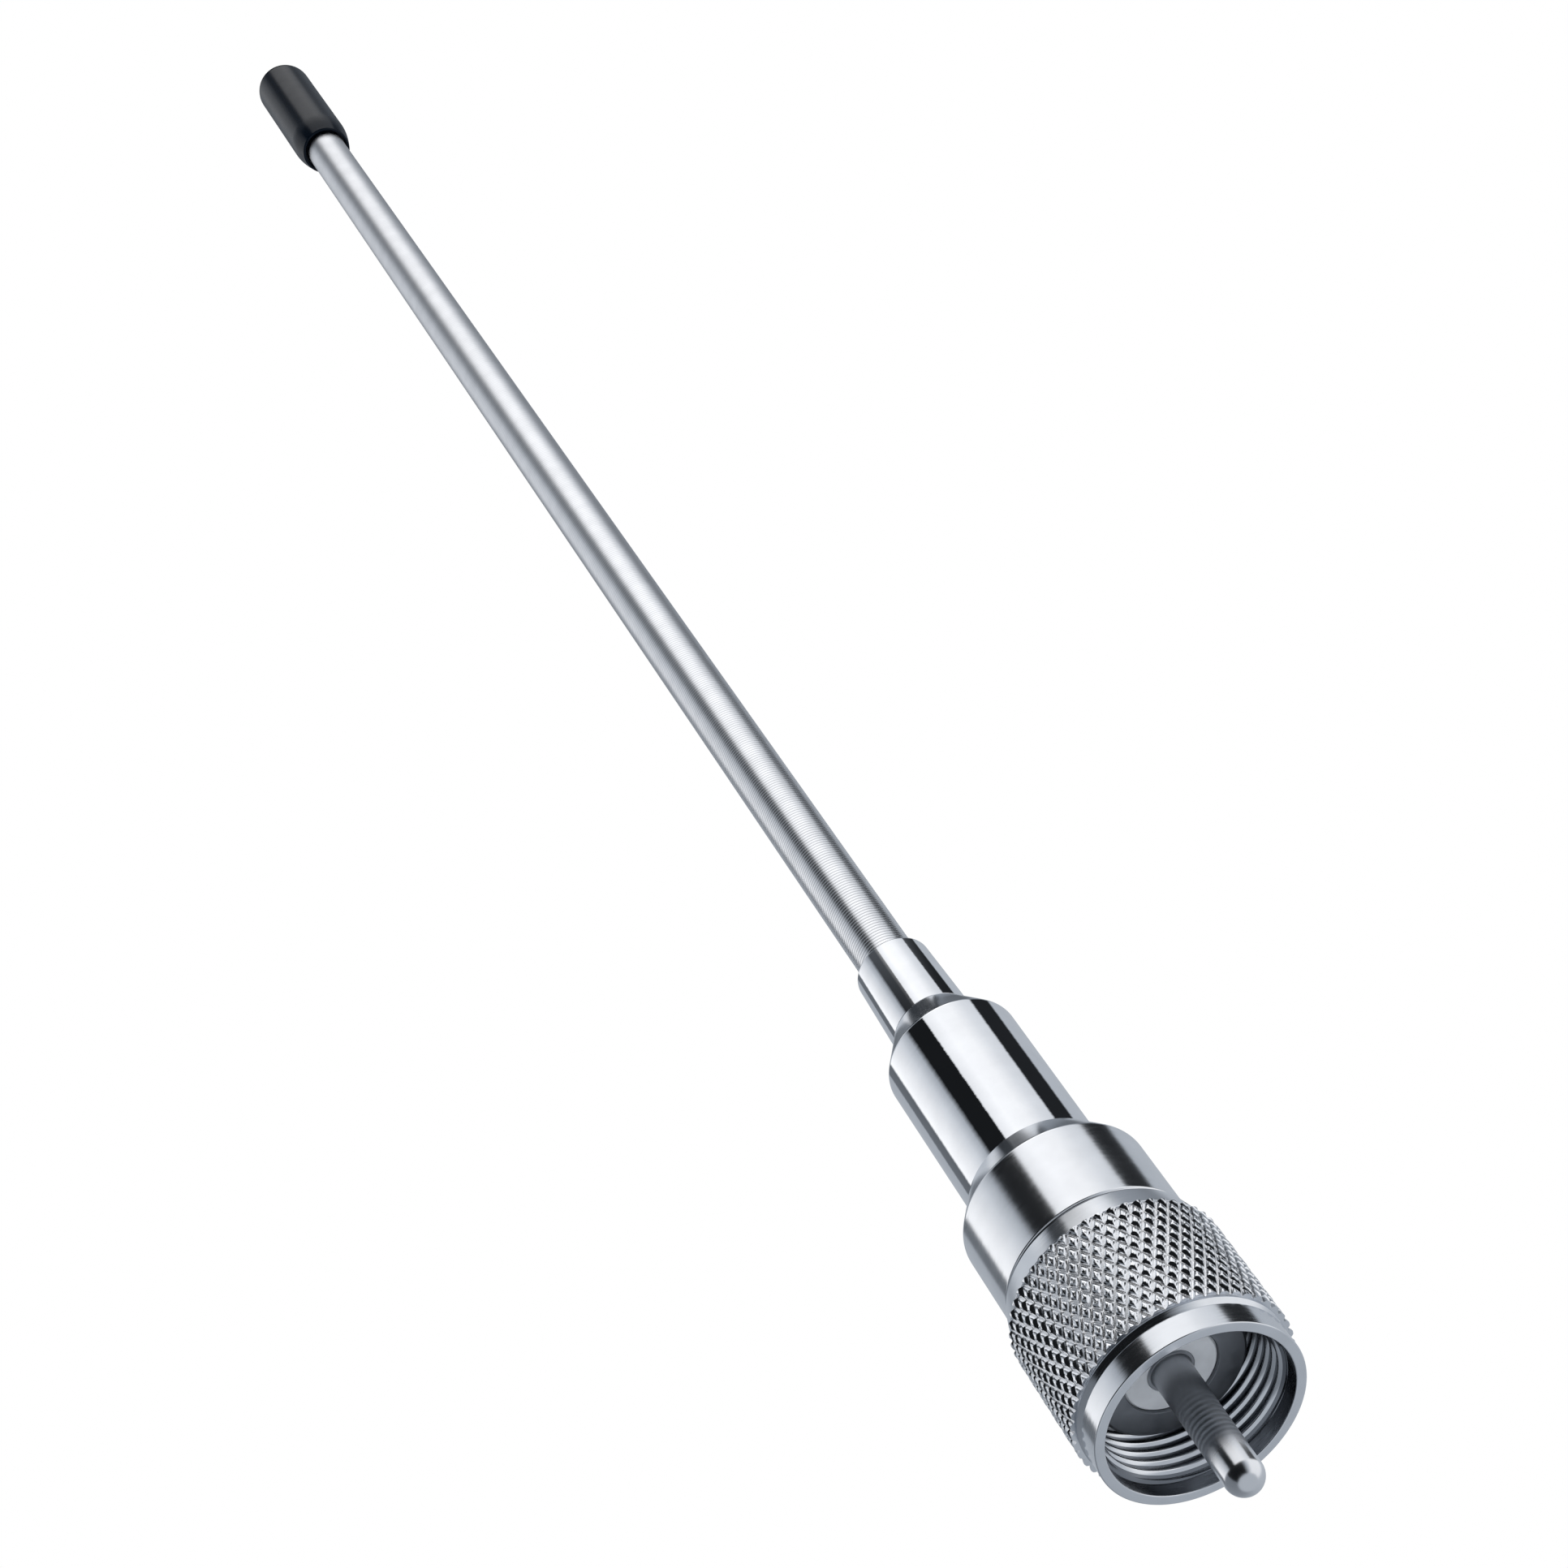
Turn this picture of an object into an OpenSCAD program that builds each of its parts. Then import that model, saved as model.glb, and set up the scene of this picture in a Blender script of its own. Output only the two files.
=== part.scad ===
// Dual band radio antenna with a screw-on coaxial plug and a flexible whip.
// +Z runs from the plug to the tip. The origin is the centre of the plug's mating face.
// Lengths are in millimetres, and every turned piece is drawn by its half section.

/* [Centre pin] */
// Diameter of the centre pin
pin_d = 3.3; // [2.4:0.1:4.0]
// How far the pin stands out of the mating face, with its rounded tip
pin_reach = 13.1; // [9:0.1:16]
// Step from the pin out to its shank inside the insulator
pin_shoulder = 0.35; // [0.3:0.05:0.6]
// Rim of the pin's head around its shank, behind the insulator
pin_head_rim = 0.4; // [0.3:0.05:0.6]
// Thickness of the pin's head
pin_head_t = 1.2; // [0.8:0.1:1.6]
// Diameter of the solder cup behind the head
pin_tail_d = 2.4; // [2.0:0.1:2.8]
// Length of the solder cup
pin_tail_l = 2.8; // [2:0.1:4]

/* [Plug shell] */
// Step from the flange down to the front spigot, whose end is the mating face
spigot_step = 0.78; // [0.5:0.02:1.2]
// Length of the front spigot
spigot_l = 3.6; // [2.5:0.1:5]
// Thickness of the flange that stops the coupling ring
flange_t = 2.0; // [1.2:0.1:3]
// Diameter of the neck behind the flange
neck_d = 11.2; // [10.8:0.1:11.6]
// Length of the neck inside the collar
neck_in_collar = 5.2; // [4:0.1:6]
// Wall of the neck around the rear of the insulator
neck_wall = 0.8; // [0.6:0.05:1.2]
// Shoulder in the bore that the insulator rests on
bore_shoulder = 0.75; // [0.4:0.05:1]
// Depth of that shoulder behind the mating face
bore_step_z = 4.0; // [3:0.1:6]
// Bevel on the edges of the spigot and flange
shell_bevel = 0.25; // [0.1:0.05:0.4]

/* [Insulator] */
// How far the insulator's face lies below the mating face
insulator_recess = 0.2; // [0.05:0.05:0.6]
// Length of the thick rear part of the insulator
insulator_rear_l = 5.0; // [3:0.1:6]
// Thickness of the threaded ring that clamps the insulator
clamp_t = 1.6; // [1.2:0.1:2.4]
// Diameter of the two spanner holes in the clamp ring
spanner_hole_d = 0.9; // [0.6:0.1:1.0]

/* [Coupling ring] */
// Length of the coupling ring
ring_l = 16.6; // [15:0.1:20]
// How far the ring reaches in front of the mating face at rest
ring_overhang = 4.9; // [3:0.1:6]
// Minor diameter of the 24-per-inch thread, drawn as its crests
thread_minor_d = 14.86; // [14.7:0.01:15.0]
// Bevel where the thread starts
thread_lead_in = 0.3; // [0.1:0.05:0.5]
// Step from the thread's crests out to the clear mouth
mouth_step = 0.57; // [0.52:0.01:0.8]
// Depth of the clear mouth
mouth_l = 1.35; // [1:0.05:2.5]
// Wall of the smooth nose around the mouth
nose_wall = 0.9; // [0.7:0.05:1.2]
// Length of the nose
nose_l = 2.25; // [1.5:0.05:3]
// Bevel on the nose's front edge
nose_bevel = 0.15; // [0.05:0.05:0.3]
// Width of the fine groove behind the nose
nose_groove_w = 0.2; // [0.1:0.05:0.4]
// Depth of the fine groove behind the nose
nose_groove_h = 0.2; // [0.1:0.05:0.3]
// Length of the bevel that rises from the groove to the knurl
front_bevel_l = 0.45; // [0.2:0.05:0.8]
// Drop from the points of the knurl to the ring's rear end
rear_bevel_h = 0.85; // [0.5:0.05:1.1]
// Length of the long rear bevel
rear_bevel_l = 2.4; // [1.5:0.1:3.5]
// Free play of the ring along the plug
ring_play = 1.5; // [0.8:0.1:2.5]

/* [Knurl] */
// Step from the nose up to the points of the knurl
knurl_rise = 0.6; // [0.5:0.05:1]
// Height of the points above the grooves
knurl_h = 0.38; // [0.2:0.02:0.5]
// Diamonds around the ring
knurl_count = 52; // [36:1:56]
// Angle of each groove to the ring's axis
knurl_angle = 28.5; // [24:0.5:40]
// Share of a diamond's width that its flat top keeps
knurl_top = 0.3; // [0.2:0.02:0.7]

/* [Friction ring] */
// Width of the split friction ring
friction_w = 1.0; // [0.6:0.1:1.4]
// Radial thickness of the friction ring
friction_t = 0.8; // [0.5:0.05:1.0]
// Gap where the friction ring is split
friction_gap = 1.2; // [0.6:0.1:2]
// Distance from the ring's inner shoulder to the friction ring's groove
friction_inset = 1.8; // [1:0.1:2.5]

/* [Collar] */
// Wall of the collar around the body
collar_wall = 2.22; // [1.8:0.02:2.4]
// Length of the collar's cylinder
collar_l = 8.8; // [6:0.1:12]
// Length of the collar's cone
collar_cone_l = 3.3; // [2.5:0.1:5]
// Thickness of the cone's end where it meets the body
collar_lip = 0.3; // [0.2:0.05:0.6]
// Width of the seam between the ring at rest and the collar
ring_seam = 0.15; // [0.1:0.05:0.3]

/* [Body] */
// Diameter of the body tube
body_d = 12.36; // [12:0.02:13]
// Wall of the body tube
body_wall = 0.88; // [0.7:0.02:1.0]
// Length of the body that shows between the two cones
body_visible_l = 17.8; // [14:0.1:30]
// Length of the body's cone
body_cone_l = 4.3; // [3:0.1:6]
// Depth of metal between the body's hollow and its cone
body_top_t = 1.7; // [1.2:0.1:3]
// Section of the sealing ring between body and collar
seal_d = 0.8; // [0.6:0.05:0.9]

/* [Ferrule] */
// Wall of the ferrule at its open end
ferrule_wall = 0.52; // [0.45:0.01:0.7]
// Radial taper of the ferrule from the body to its open end
ferrule_taper = 0.25; // [0:0.05:0.5]
// Length of the ferrule in front of the body
ferrule_l = 9.5; // [7:0.1:14]
// Wall of the ferrule's root inside the body
ferrule_root_wall = 0.42; // [0.3:0.02:0.5]
// Length of the ferrule's root inside the body
ferrule_root_l = 4.0; // [3:0.1:5]
// Radius of the ferrule's open edge
ferrule_edge_r = 0.3; // [0.1:0.05:0.35]

/* [Matching trap] */
// Radial room for the coil between the former's core and the body
coil_room = 1.9; // [1.5:0.05:2.2]
// Thickness of the former's two flanges
former_flange_t = 1.2; // [0.8:0.1:1.6]
// Length of the former between its flanges
former_window_l = 8.6; // [7:0.1:11]
// Diameter of the coil's wire
coil_wire_d = 0.8; // [0.5:0.05:0.9]
// Turns of the coil
coil_turns = 6; // [4:1:7]
// Rise of the coil for each turn
coil_pitch = 1.15; // [1.0:0.05:1.2]
// Diameter of the capacitor in the former's bore
capacitor_d = 3.0; // [2.4:0.1:3.4]
// Length of the capacitor's body
capacitor_l = 6.0; // [4:0.1:7]
// Diameter of the capacitor's wires
capacitor_wire_d = 0.6; // [0.4:0.05:0.8]
// Diameter of the lead from the centre pin
lead_d = 1.0; // [0.7:0.05:1.2]
// Radial gap that keeps the tag and the socket's flange off the body
disc_gap = 0.9; // [0.8:0.05:1]
// Thickness of the tag that joins lead and coil
tag_t = 0.8; // [0.5:0.1:1.0]
// Room between the tag and the former
tag_room = 0.8; // [0.5:0.1:1.5]

/* [Whip] */
// Diameter of the whip
whip_d = 5.5; // [5:0.05:5.6]
// Thickness of the wire wound around the core
winding_t = 0.94; // [0.7:0.02:1.2]
// Length of the whip from the ferrule to the cap
whip_visible_l = 216.2; // [100:0.1:460]
// Wall of the brass socket that holds the whip
socket_wall = 0.74; // [0.5:0.02:0.8]
// Depth of whip in its socket
socket_depth = 6.0; // [4:0.1:8]
// Thickness of the socket's floor
socket_floor = 0.8; // [0.6:0.1:1.6]
// Thickness of the socket's soldering flange
socket_flange_t = 1.2; // [0.8:0.1:1.6]
// Wall of the insulating sleeve around the whip
sleeve_wall = 0.32; // [0.2:0.02:0.4]
// How far the sleeve ends inside the ferrule's mouth
sleeve_recess = 0.3; // [0.1:0.05:1]

/* [Tip cap] */
// Thickness of the cap's lip around the whip
cap_lip = 0.7; // [0.55:0.05:0.9]
// Width of the recess that keeps the lip's edge off the whip
cap_recess = 0.35; // [0.2:0.05:0.4]
// Depth of that recess
cap_recess_l = 1.2; // [0.6:0.1:2]
// Radial swell of the cap from its mouth to its full width
cap_swell = 0.54; // [0.4:0.02:1]
// Length of the cap
cap_l = 29.2; // [24:0.1:50]
// Length over which the cap widens behind its mouth
cap_flare_l = 4.5; // [2:0.1:12]
// Radius of the rolled edge at the mouth
cap_bead_r = 0.25; // [0.1:0.05:0.3]
// Depth of the cap's blind hole
cap_hole_l = 22.5; // [16:0.1:26]
// Wall of the crimped end sleeve on the whip
crimp_wall = 0.35; // [0.2:0.05:0.5]
// Length of the crimped end sleeve
crimp_l = 9.0; // [5:0.1:12]

/* [Hidden] */

$fn = 96;

// Fits: radial gap of a turning fit, of a free fit and of a pressed or soldered fit
turning_fit = 0.08;
free_fit = 0.15;
close_fit = 0.01;
// Depth by which a joined shape reaches into its neighbour
overlap = 0.3;

// Heights along the axis, from the plug to the tip
ring_front_z = -ring_overhang;
ring_rear_z = ring_front_z + ring_l;
collar_front_z = ring_rear_z + ring_seam;
collar_cone_z = collar_front_z + collar_l;
body_cone_gap_z = collar_cone_z + collar_cone_l;
neck_end_z = collar_front_z + neck_in_collar;
body_cone_z = body_cone_gap_z + body_visible_l;
ferrule_z = body_cone_z + body_cone_l;
ferrule_end_z = ferrule_z + ferrule_l;
cap_z = ferrule_end_z + whip_visible_l;

// Plug shell
flange_d = thread_minor_d - 2 * free_fit;
spigot_d = flange_d - 2 * spigot_step;
rear_bore_d = neck_d - 2 * neck_wall;
face_bore_d = rear_bore_d - 2 * bore_shoulder;
flange_rear_z = spigot_l + flange_t;
shoulder_z = flange_rear_z + ring_play;

// Insulator and pin
insulator_rear_z = bore_step_z + insulator_rear_l;
pin_shank_d = pin_d + 2 * pin_shoulder;
pin_head_d = pin_shank_d + 2 * pin_head_rim;
pin_tail_z = insulator_rear_z + pin_head_t + pin_tail_l;
lead_hole_depth = 0.7 * pin_tail_l;
clamp_bore_d = pin_head_d + 4 * free_fit;

// Coupling ring, from the thread outwards
mouth_d = thread_minor_d + 2 * mouth_step;
nose_d = mouth_d + 2 * nose_wall;
knurl_d = nose_d + 2 * knurl_rise;
ring_rear_d = knurl_d - 2 * rear_bevel_h;
ring_bore_d = neck_d + 2 * turning_fit;
knurl_r = knurl_d / 2;
knurl_root_r = knurl_r - knurl_h;
knurl_z0 = ring_front_z + nose_l + nose_groove_w + front_bevel_l;
knurl_z1 = ring_rear_z - rear_bevel_l;
knurl_len = knurl_z1 - knurl_z0;
knurl_rows = round(2 * knurl_len * tan(knurl_angle) * knurl_count / (PI * knurl_d));
friction_z = shoulder_z + friction_inset;
friction_groove_d = neck_d + 2 * friction_t + 4 * turning_fit;

// Collar and matching trap
collar_d = body_d + 2 * collar_wall;
body_bore_d = body_d - 2 * body_wall;
former_d = body_bore_d - 2 * coil_room;
disc_d = body_bore_d - 2 * disc_gap;
former_z = neck_end_z;
window_z = former_z + former_flange_t;
former_top_z = window_z + former_window_l + former_flange_t;
former_flange_d = body_bore_d - 2 * free_fit;
coil_r = former_d / 2 + coil_wire_d / 2 + turning_fit;
coil_rise = coil_turns * coil_pitch;
coil_z = window_z + (former_window_l - coil_rise) / 2;
capacitor_z = window_z + (former_window_l - capacitor_l) / 2;
tag_z = former_z - tag_room - tag_t;

// Whip, its socket, ferrule and cap
core_d = whip_d - 2 * (winding_t + close_fit);
socket_d = whip_d + 2 * (socket_wall + close_fit);
socket_z = former_top_z;
whip_z = socket_z + socket_flange_t + socket_floor;
socket_top_z = whip_z + socket_depth;
sleeve_d = whip_d + 2 * sleeve_wall + 2 * close_fit;
ferrule_top_d = sleeve_d + 2 * ferrule_wall;
ferrule_base_d = ferrule_top_d + 2 * ferrule_taper;
ferrule_root_d = sleeve_d + 2 * ferrule_root_wall;
cap_mouth_d = whip_d + 2 * cap_lip;
cap_d = cap_mouth_d + 2 * cap_swell;
hollow_top_z = body_cone_z - body_top_t;
whip_end_z = cap_z + cap_hole_l - crimp_wall - free_fit;

// Points of a quarter or other arc, as radius and height pairs
function arc(r, z, radius, from, to, steps = 8) =
    [for (i = [0 : steps]) let (a = from + (to - from) * i / steps) [r + radius * cos(a), z + radius * sin(a)]];

// Point on a cylinder at an angle
function on_cylinder(r, angle, z) = [r * cos(angle), r * sin(angle), z];

// A turned solid from its half section
module turned(section) {
    rotate_extrude() polygon(section);
}

// Straight tube between two heights
module tube(outer_d, inner_d, z0, z1) {
    turned([[inner_d / 2, z0], [outer_d / 2, z0], [outer_d / 2, z1], [inner_d / 2, z1]]);
}

// Knurled band of diamonds with flat tops, drawn as one closed skin.
// Nodes of the net lie where grooves cross. Row k has its nodes half a pitch beside those of row k - 1,
// and each diamond reaches from its own row to the rows above and below.
module knurl_band(z0, z1, inner_r, root_r, tip_r, count, rows, top) {
    pitch = 360 / count;
    row_h = (z1 - z0) / rows;

    function shift(k) = (k % 2) / 2;
    function net(k, i) = [(i + shift(k)) * pitch, z0 + k * row_h];
    function centre(k, i) = [(i + shift(k) + 0.5) * pitch, z0 + k * row_h];
    // Corner c of a diamond's top: left, right, up, down
    function corner(k, i, c) = centre(k, i) + top * [[-pitch / 2, 0], [pitch / 2, 0], [0, row_h], [0, -row_h]][c];

    net_points = [for (k = [0 : rows], i = [0 : count - 1]) on_cylinder(root_r, net(k, i)[0], net(k, i)[1])];
    // The end rows are cut through their middle, so one corner there lies on the end's plane and isn't used
    top_points = [for (k = [0 : rows], i = [0 : count - 1], c = [0 : 3])
        let (p = corner(k, i, c))
        on_cylinder(tip_r, p[0], min(z1, max(z0, p[1])))];
    inner_points = [for (k = [0, rows], i = [0 : count - 1]) on_cylinder(inner_r, net(k, i)[0], net(k, i)[1])];

    top_start = len(net_points);
    inner_start = top_start + len(top_points);
    function g(k, i) = k * count + (i + count) % count;
    function t(k, i, c) = top_start + 4 * g(k, i) + c;
    function n(end, i) = inner_start + end * count + (i + count) % count;
    function across(k, i) = i + k % 2;

    upper = [for (k = [0 : rows - 1], i = [0 : count - 1]) let (u = g(k + 1, across(k, i))) each [
        [g(k, i), u, t(k, i, 2), t(k, i, 0)],
        [u, g(k, i + 1), t(k, i, 1), t(k, i, 2)],
        [t(k, i, 0), t(k, i, 2), t(k, i, 1)]]];
    lower = [for (k = [1 : rows], i = [0 : count - 1]) let (d = g(k - 1, across(k, i))) each [
        [d, g(k, i), t(k, i, 0), t(k, i, 3)],
        [g(k, i + 1), d, t(k, i, 3), t(k, i, 1)],
        [t(k, i, 1), t(k, i, 3), t(k, i, 0)]]];
    ends = [for (i = [0 : count - 1]) each [
        [n(0, i), g(0, i), t(0, i, 0), t(0, i, 1), g(0, i + 1), n(0, i + 1)],
        [n(1, i + 1), g(rows, i + 1), t(rows, i, 1), t(rows, i, 0), g(rows, i), n(1, i)]]];
    inside = [for (i = [0 : count - 1]) each [
        [n(0, i), n(0, i + 1), n(1, i)],
        [n(0, i + 1), n(1, i + 1), n(1, i)]]];

    polyhedron(concat(net_points, top_points, inner_points), concat(upper, lower, ends, inside), convexity = 4);
}

// Half section of the coupling ring without its knurl
function ring_section() = let (
    nose_r = nose_d / 2,
    groove_z = ring_front_z + nose_l,
    bevel_z = groove_z + nose_groove_w,
    core_r = knurl_root_r - overlap,
    thread_z = ring_front_z + mouth_l,
    thread_r = thread_minor_d / 2,
    bore_r = ring_bore_d / 2,
    groove_r = friction_groove_d / 2,
    groove_end_z = friction_z + friction_w + 2 * turning_fit
) [
    [mouth_d / 2, ring_front_z],
    [nose_r - nose_bevel, ring_front_z],
    [nose_r, ring_front_z + nose_bevel],
    [nose_r, groove_z],
    [nose_r - nose_groove_h, groove_z],
    [nose_r - nose_groove_h, bevel_z],
    [knurl_root_r - knurl_h / 4, knurl_z0],
    [core_r, knurl_z0],
    [core_r, knurl_z1],
    [knurl_root_r + knurl_h / 2, knurl_z1],
    [ring_rear_d / 2, ring_rear_z],
    [bore_r, ring_rear_z],
    [bore_r, groove_end_z],
    [groove_r, groove_end_z],
    [groove_r, friction_z],
    [bore_r, friction_z],
    [bore_r, shoulder_z],
    [thread_r, shoulder_z],
    [thread_r, thread_z + thread_lead_in],
    [mouth_d / 2, thread_z]
];

module coupling_ring() {
    color("silver") {
        turned(ring_section());
        knurl_band(knurl_z0, knurl_z1, knurl_root_r - 2 * overlap, knurl_root_r, knurl_r,
            knurl_count, knurl_rows, knurl_top);
    }
}

module friction_ring() {
    inner_r = neck_d / 2 + turning_fit / 2;
    z0 = friction_z + turning_fit;
    color("black") difference() {
        tube(2 * (inner_r + friction_t), 2 * inner_r, z0, z0 + friction_w);
        translate([0, -friction_gap / 2, z0 - 1]) cube([knurl_d, friction_gap, friction_w + 2]);
    }
}

module plug_shell() {
    spigot_r = spigot_d / 2;
    flange_r = flange_d / 2;
    color("dimgray") turned([
        [face_bore_d / 2, 0],
        [spigot_r - shell_bevel, 0],
        [spigot_r, shell_bevel],
        [spigot_r, spigot_l],
        [flange_r - shell_bevel, spigot_l],
        [flange_r, spigot_l + shell_bevel],
        [flange_r, flange_rear_z - shell_bevel],
        [flange_r - shell_bevel, flange_rear_z],
        [neck_d / 2, flange_rear_z],
        [neck_d / 2, neck_end_z],
        [rear_bore_d / 2, neck_end_z],
        [rear_bore_d / 2, bore_step_z],
        [face_bore_d / 2, bore_step_z]
    ]);
}

module insulator() {
    front_r = face_bore_d / 2 - close_fit;
    rear_r = rear_bore_d / 2 - close_fit;
    hole_r = pin_shank_d / 2 + close_fit;
    color("gainsboro") turned([
        [hole_r, insulator_recess],
        [front_r - insulator_recess, insulator_recess],
        [front_r, 2 * insulator_recess],
        [front_r, bore_step_z + close_fit],
        [rear_r, bore_step_z + close_fit],
        [rear_r, insulator_rear_z],
        [hole_r, insulator_rear_z]
    ]);
}

module centre_pin() {
    pin_r = pin_d / 2;
    head_top_z = insulator_rear_z + close_fit + pin_head_t;
    cup_r = lead_d / 2 + close_fit;
    color("gray") turned(concat(
        arc(0, pin_r - pin_reach, pin_r, -90, 0, 12), [
        [pin_r, insulator_recess],
        [pin_shank_d / 2, insulator_recess],
        [pin_shank_d / 2, insulator_rear_z + close_fit],
        [pin_head_d / 2, insulator_rear_z + close_fit],
        [pin_head_d / 2, head_top_z],
        [pin_tail_d / 2, head_top_z],
        [pin_tail_d / 2, pin_tail_z],
        [cup_r, pin_tail_z],
        [cup_r, pin_tail_z - lead_hole_depth],
        [0, pin_tail_z - lead_hole_depth]
    ]));
}

module clamp_ring() {
    outer_r = rear_bore_d / 2 - close_fit;
    z0 = insulator_rear_z + close_fit;
    hole_r = (outer_r + clamp_bore_d / 2) / 2;
    color("goldenrod") difference() {
        tube(2 * outer_r, clamp_bore_d, z0, z0 + clamp_t);
        for (side = [-1, 1])
            translate([side * hole_r, 0, z0 + clamp_t / 2]) cylinder(d = spanner_hole_d, h = clamp_t);
    }
}

module pin_lead() {
    z0 = pin_tail_z - lead_hole_depth + close_fit;
    color("peru") translate([0, 0, z0]) cylinder(d = lead_d, h = former_z - z0, $fn = 32);
}

module lead_tag() {
    color("gold") difference() {
        translate([0, 0, tag_z]) cylinder(d = disc_d, h = tag_t);
        translate([0, 0, tag_z - 1]) cylinder(d = lead_d + 2 * close_fit, h = tag_t + 2, $fn = 32);
        translate([coil_r, 0, tag_z - 1]) cylinder(d = coil_wire_d + 4 * close_fit, h = tag_t + 2, $fn = 32);
    }
}

module coil_former() {
    flange_r = former_flange_d / 2;
    core_r = former_d / 2;
    bore_r = capacitor_d / 2 + turning_fit;
    hole_d = coil_wire_d + 2 * turning_fit;
    wire_r = capacitor_wire_d / 2 + turning_fit;
    low_z = capacitor_z;
    color("ivory") difference() {
        turned([
            [wire_r, former_z],
            [flange_r, former_z],
            [flange_r, window_z],
            [core_r, window_z],
            [core_r, window_z + former_window_l],
            [flange_r, window_z + former_window_l],
            [flange_r, former_top_z],
            [bore_r, former_top_z],
            [bore_r, low_z],
            [wire_r, low_z]
        ]);
        for (z = [former_z, window_z + former_window_l])
            translate([coil_r, 0, z - 1]) cylinder(d = hole_d, h = former_flange_t + 2, $fn = 32);
    }
}

// Coil with its two straight ends, swept along one path as a closed skin
module trap_coil() {
    sides = 8;
    steps_per_turn = 24;
    steps = coil_turns * steps_per_turn;
    function turn_point(i) = on_cylinder(coil_r, 360 * i / steps_per_turn, coil_z + coil_rise * i / steps);
    path = concat([[coil_r, 0, tag_z]], [for (i = [0 : steps]) turn_point(i)], [[coil_r, 0, former_top_z]]);
    last = len(path) - 1;

    function outward(p) = [p[0], p[1], 0] / norm([p[0], p[1]]);
    function tangent(p) = let (o = outward(p)) [-o[1], o[0], 0];
    // Rings are level on the straight ends, upright on the turns and mitred where the two meet
    function side(i) = i == 0 || i == last ? -tangent(path[i])
        : i == 1 || i == last - 1 ? [0, 0, 1] - tangent(path[i])
        : [0, 0, 1];
    function ring_point(i, s) = let (a = 360 * s / sides)
        path[i] + coil_wire_d / 2 * (cos(a) * outward(path[i]) + sin(a) * side(i));

    points = [for (i = [0 : last], s = [0 : sides - 1]) ring_point(i, s)];
    walls = [for (i = [0 : last - 1], s = [0 : sides - 1])
        let (a = i * sides + s, b = i * sides + (s + 1) % sides) each [
        [a, a + sides, b],
        [b, a + sides, b + sides]]];
    caps = [[for (s = [0 : sides - 1]) s], [for (s = [sides - 1 : -1 : 0]) last * sides + s]];
    color("chocolate") polyhedron(points, concat(walls, caps), convexity = 10);
}

module trap_capacitor() {
    wire_r = capacitor_wire_d / 2;
    body_r = capacitor_d / 2;
    edge = capacitor_d / 8;
    color("tan") turned([
        [0, former_z],
        [wire_r, former_z],
        [wire_r, capacitor_z],
        [body_r - edge, capacitor_z],
        [body_r, capacitor_z + edge],
        [body_r, capacitor_z + capacitor_l - edge],
        [body_r - edge, capacitor_z + capacitor_l],
        [wire_r, capacitor_z + capacitor_l],
        [wire_r, socket_z],
        [0, socket_z]
    ]);
}

module collar() {
    groove_r = body_d / 2 + seal_d + 2 * close_fit;
    seal_z = (neck_end_z + collar_cone_z) / 2;
    color("silver") turned([
        [neck_d / 2 + close_fit, collar_front_z],
        [collar_d / 2, collar_front_z],
        [collar_d / 2, collar_cone_z],
        [body_d / 2 + collar_lip, body_cone_gap_z],
        [body_d / 2 + close_fit, body_cone_gap_z],
        [body_d / 2 + close_fit, seal_z + seal_d / 2 + turning_fit],
        [groove_r, seal_z + seal_d / 2 + turning_fit],
        [groove_r, seal_z - seal_d / 2 - turning_fit],
        [body_d / 2 + close_fit, seal_z - seal_d / 2 - turning_fit],
        [body_d / 2 + close_fit, neck_end_z],
        [neck_d / 2 + close_fit, neck_end_z]
    ]);
}

module body_seal() {
    color("black") translate([0, 0, (neck_end_z + collar_cone_z) / 2])
        rotate_extrude() translate([body_d / 2 + seal_d / 2 + close_fit, 0]) circle(d = seal_d, $fn = 24);
}

module body_tube() {
    outer_r = body_d / 2;
    bore_r = body_bore_d / 2;
    root_r = ferrule_root_d / 2 + close_fit;
    hole_r = sleeve_d / 2 + close_fit;
    color("whitesmoke") turned([
        [bore_r, neck_end_z + close_fit],
        [outer_r, neck_end_z + close_fit],
        [outer_r, body_cone_z],
        [ferrule_base_d / 2, ferrule_z],
        [root_r, ferrule_z],
        [root_r, ferrule_z - ferrule_root_l],
        [hole_r, ferrule_z - ferrule_root_l],
        [hole_r, hollow_top_z],
        [bore_r, hollow_top_z]
    ]);
}

module ferrule() {
    root_r = ferrule_root_d / 2;
    bore_r = sleeve_d / 2 + close_fit;
    top_r = ferrule_top_d / 2;
    z0 = ferrule_z + close_fit;
    color("whitesmoke") turned(concat([
        [bore_r, ferrule_z - ferrule_root_l + close_fit],
        [root_r, ferrule_z - ferrule_root_l + close_fit],
        [root_r, z0],
        [ferrule_base_d / 2, z0]],
        arc(top_r - ferrule_edge_r, ferrule_end_z - ferrule_edge_r, ferrule_edge_r, 0, 90, 6), [
        [bore_r, ferrule_end_z]
    ]));
}

module whip_socket() {
    cup_r = socket_d / 2;
    hole_r = whip_d / 2 + close_fit;
    floor_z = socket_z + close_fit;
    color("goldenrod") turned([
        [0, floor_z],
        [disc_d / 2, floor_z],
        [disc_d / 2, floor_z + socket_flange_t],
        [cup_r, floor_z + socket_flange_t],
        [cup_r, socket_top_z],
        [hole_r, socket_top_z],
        [hole_r, whip_z],
        [0, whip_z]
    ]);
}

module top_disc() {
    color("ivory")
        tube(body_bore_d - 2 * close_fit, sleeve_d + 2 * close_fit, socket_top_z + close_fit, hollow_top_z - close_fit);
}

module whip_sleeve() {
    color("dimgray")
        tube(sleeve_d, whip_d + 2 * close_fit, socket_top_z + close_fit, ferrule_end_z - sleeve_recess);
}

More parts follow.
